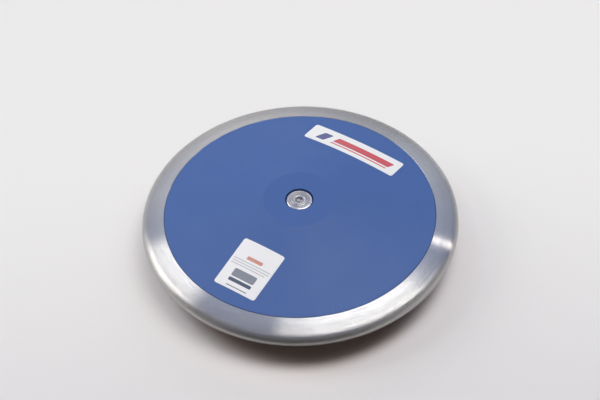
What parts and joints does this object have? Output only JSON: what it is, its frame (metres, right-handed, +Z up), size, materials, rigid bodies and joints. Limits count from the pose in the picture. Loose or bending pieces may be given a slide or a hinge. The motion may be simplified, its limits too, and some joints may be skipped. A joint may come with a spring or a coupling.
{
  "type": "competition discus",
  "caption": "Competition discus: a rounded steel rim holds tapered blue plastic side plates, clamped by a flush centre bolt, with plain white labels on the upper side.",
  "frame": {"origin": "middle of the lower flat centre, the face that the discus rests on", "axes": "+Z up along the spin axis, out of the labelled side; the long label lies towards +X and +Y, the smaller label towards -X and -Y; in the picture the view runs along +Y"},
  "size_m": [0.22, 0.22, 0.045],
  "materials": {
    "turned_steel": "satin",
    "zinc_steel": "satin",
    "dark_steel": "satin",
    "blue_plastic": "matte",
    "white_vinyl": "satin"
  },
  "bodies": {
    "root": {"rim": "turned_steel", "upper_side_plate": "blue_plastic", "lower_side_plate": "blue_plastic", "centre_bolt": "zinc_steel", "sleeve_nut": "zinc_steel", "core_tube": "dark_steel", "ballast_ring": "dark_steel", "trim_washer_1": "dark_steel", "trim_washer_2": "dark_steel", "trim_washer_3": "dark_steel", "name_label": "white_vinyl", "data_label": "white_vinyl"}
  },
  "joints": []
}
